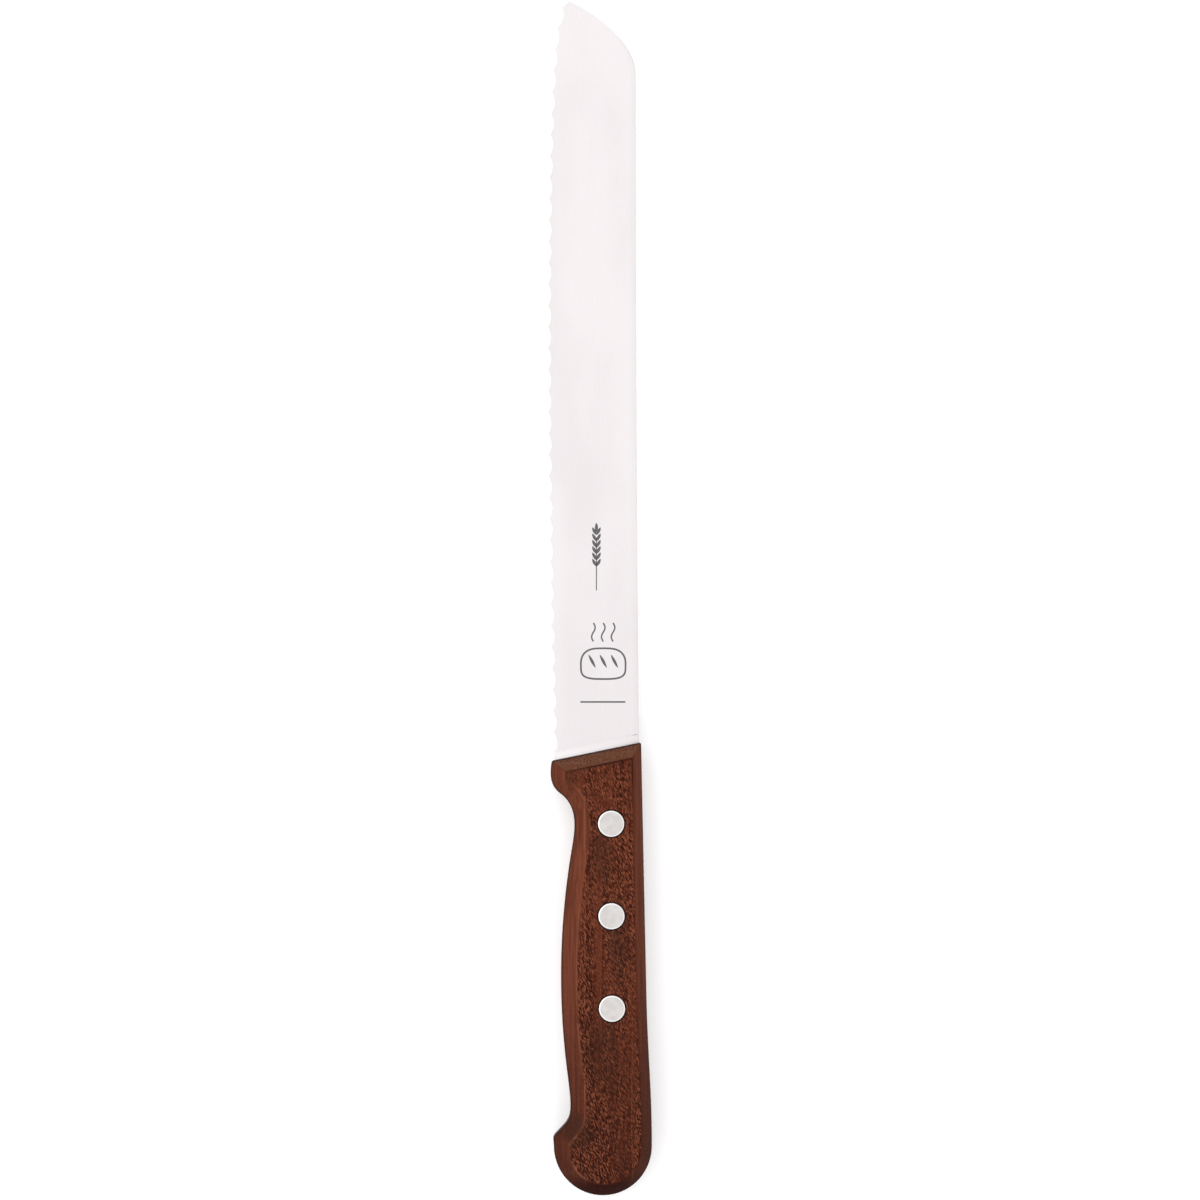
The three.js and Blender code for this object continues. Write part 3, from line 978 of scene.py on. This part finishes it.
def add_ridge_highlight_and_rim_shade(s, base, x, y):
    """The ridge round the flat faces gets a painted highlight on the belly's side, and is darker at
    the front; the outer edges are darker all round, a painted shade on the walls' rounding."""
    ridge = s.attribute("ridge")
    patchy = s.smooth(s.noise((0.09, 0.2, 0.2), detail=2), 0.38, 0.58, 0.3, 1.0)
    belly_side = s.smooth(y, 2 * MM, 5 * MM)
    at_front = s.smooth(x, -54 * MM, -50 * MM)
    light = s.math("MULTIPLY", s.math("MULTIPLY", ridge, patchy), belly_side)
    # Painted highlight: a lighter line along the belly side's ridge, where its rounding catches the
    # light.
    base = s.layer(base, srgb(128, 76, 56), light, 0.5)
    base = s.layer(base, srgb(38, 14, 9), s.math("MULTIPLY", ridge, at_front), 0.75)
    # Painted shade: the outer rim is darkened all round, standing in for the shade on the walls'
    # rounding.
    return s.layer(base, srgb(26, 8, 5), s.attribute("rim"), 0.8)


def add_rivet_outline(s, base, x, y):
    """A thin dark line round each rivet head."""
    for middle_x, middle_y, radius in rivet_places():
        along = s.math("SUBTRACT", x, middle_x * MM)
        across = s.math("SUBTRACT", y, middle_y * MM)
        square = s.math("ADD", s.math("MULTIPLY", along, along), s.math("MULTIPLY", across, across))
        away = s.math("SQRT", square)
        ring = s.smooth(away, (radius + 0.45) * MM, (radius + 0.2) * MM)
        base = s.layer(base, srgb(20, 6, 4), ring, 0.92)
    return base


def blade_material():
    """Satin steel, brushed lengthwise. The tang's edge, ground flush with the wood, is duller."""
    s = Shader("satin_steel")
    x = s.axes("Object")[0]
    nz = s.axes("Normal")[2]
    scratches = s.noise((0.1, 7.0, 0.1), detail=3, roughness=0.6)
    hazy = s.noise((0.02, 0.05, 0.05), detail=2)
    steel = s.mix(s.smooth(hazy, 0.35, 0.7), srgb(216, 211, 212), srgb(222, 217, 218))
    at_side = s.smooth(s.math("ABSOLUTE", nz), 0.6, 0.3)
    ground = s.math("MULTIPLY", at_side, s.smooth(x, -38 * MM, -42 * MM))
    lines = s.noise((1.2, 1.2, 6.0), detail=2)
    edge = s.mix(s.smooth(lines, 0.35, 0.65), srgb(160, 156, 156), srgb(190, 186, 185))
    s.set("Base Color", s.mix(ground, steel, edge))
    gloss = s.smooth(scratches, 0.3, 0.7, 0.24, 0.36)
    s.set("Roughness", s.math("MULTIPLY_ADD", ground, 0.15, gloss))
    s.set("Normal", s.bump(scratches, 0.003, 0.6))
    s.bsdf.inputs["Metallic"].default_value = 1.0
    return s.material


def rivet_material():
    s = Shader("rivet_metal")
    nz = s.axes("Normal")[2]
    scratches = s.noise((0.5, 14.0, 1.0), rotation=(0, 0, math.radians(8)), detail=3, roughness=0.6)
    patches = s.noise((0.5, 0.5, 0.5), detail=2)
    head = s.mix(s.smooth(patches, 0.35, 0.65), srgb(194, 190, 188), srgb(203, 199, 197))
    # Painted highlight: the bevel round each head is given a lighter colour, standing in for the ring
    # of light it catches.
    rim = s.smooth(s.math("ABSOLUTE", nz), 0.995, 0.97)
    s.set("Base Color", s.mix(rim, head, srgb(228, 227, 227)))
    s.set("Roughness", s.smooth(scratches, 0.3, 0.7, 0.3, 0.45))
    s.set("Normal", s.bump(scratches, 0.006, 0.5))
    s.bsdf.inputs["Metallic"].default_value = 1.0
    return s.material


def mark_material():
    s = Shader("etched_grey")
    speckle = s.noise((6.0, 6.0, 6.0), detail=2)
    s.set("Base Color", s.mix(s.smooth(speckle, 0.35, 0.65), srgb(72, 70, 72), srgb(96, 94, 96)))
    s.bsdf.inputs["Metallic"].default_value = 0.0
    s.bsdf.inputs["Roughness"].default_value = 0.7
    return s.material


def paint(piece, material):
    piece.data.materials.clear()
    piece.data.materials.append(material)


# ---- Studio ----------------------------------------------------------------------------------

def make_studio():
    bm = bmesh.new()
    bmesh.ops.create_grid(bm, x_segments=1, y_segments=1, size=12)
    floor = object_from(bm, "floor")
    s = Shader("white_floor")
    s.bsdf.inputs["Base Color"].default_value = (0.93, 0.93, 0.93, 1)
    s.bsdf.inputs["Roughness"].default_value = 0.9
    s.bsdf.inputs["Specular IOR Level"].default_value = 0.1
    s.bsdf.inputs["Emission Color"].default_value = (1, 1, 1, 1)
    s.bsdf.inputs["Emission Strength"].default_value = 0.2  # a light table, to soften the shadow
    paint(floor, s.material)
    floor.location.z = -0.05 * MM  # just clear of the handle's lower face
    make_light_tent()
    view = bpy.context.scene.view_settings
    view.view_transform = "Standard"
    view.look = "None"


def make_light_tent():
    """Soft white light from all round, strongest halfway up and dim along the horizon, with a
    broad soft lamp over the cutting edge's side."""
    horizon, halfway, overhead = 0.45, 1.3, 1.2
    lamp, spread = 0.9, 4
    lamp_way = Vector((0.35, 0.9, 0.5)).normalized()
    world = bpy.data.worlds.new("studio")
    world.use_nodes = True
    bpy.context.scene.world = world
    tree = world.node_tree

    def new(kind, *values, **settings):
        node = tree.nodes.new(kind)
        for key, value in settings.items():
            setattr(node, key, value)
        for socket, value in zip(node.inputs, values):
            if isinstance(value, bpy.types.NodeSocket):
                tree.links.new(value, socket)
            else:
                socket.default_value = value
        return node.outputs

    way = new("ShaderNodeTexCoord")["Generated"]
    height = new("ShaderNodeSeparateXYZ", way)["Z"]
    rise = new("ShaderNodeMapRange", height, 0.05, 0.6, horizon, halfway,
               interpolation_type="SMOOTHSTEP")[0]
    fall = new("ShaderNodeMapRange", height, 0.72, 0.95, 0.0, halfway - overhead,
               interpolation_type="SMOOTHSTEP")[0]
    sky = new("ShaderNodeMath", rise, fall, operation="SUBTRACT")[0]
    towards = new("ShaderNodeVectorMath", way, lamp_way, operation="DOT_PRODUCT")["Value"]
    facing = new("ShaderNodeMath", towards, 0.0, operation="MAXIMUM")[0]
    glow = new("ShaderNodeMath", facing, spread, operation="POWER")[0]
    total = new("ShaderNodeMath", glow, lamp, sky, operation="MULTIPLY_ADD")[0]
    background = tree.nodes["Background"]
    background.inputs["Color"].default_value = (1, 1, 1, 1)
    tree.links.new(total, background.inputs["Strength"])


# ---- Assembly --------------------------------------------------------------------------------

def main():
    make_studio()

    handle = make_handle()
    paint(handle, wood_material())
    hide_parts("handle")

    steel = blade_material()
    blade = make_blade()
    paint(blade, steel)
    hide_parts("blade")

    marks = make_marks()
    paint(marks, mark_material())

    rivet_metal = rivet_material()
    rivets = []
    for name, (x, y, radius) in zip(RIVET_NAMES, rivet_places()):
        for piece in make_rivet(name, x, y, radius):
            paint(piece, rivet_metal)
            rivets.append(piece)

    for piece in (handle, blade, marks, *rivets):
        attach(piece, "root")


main()
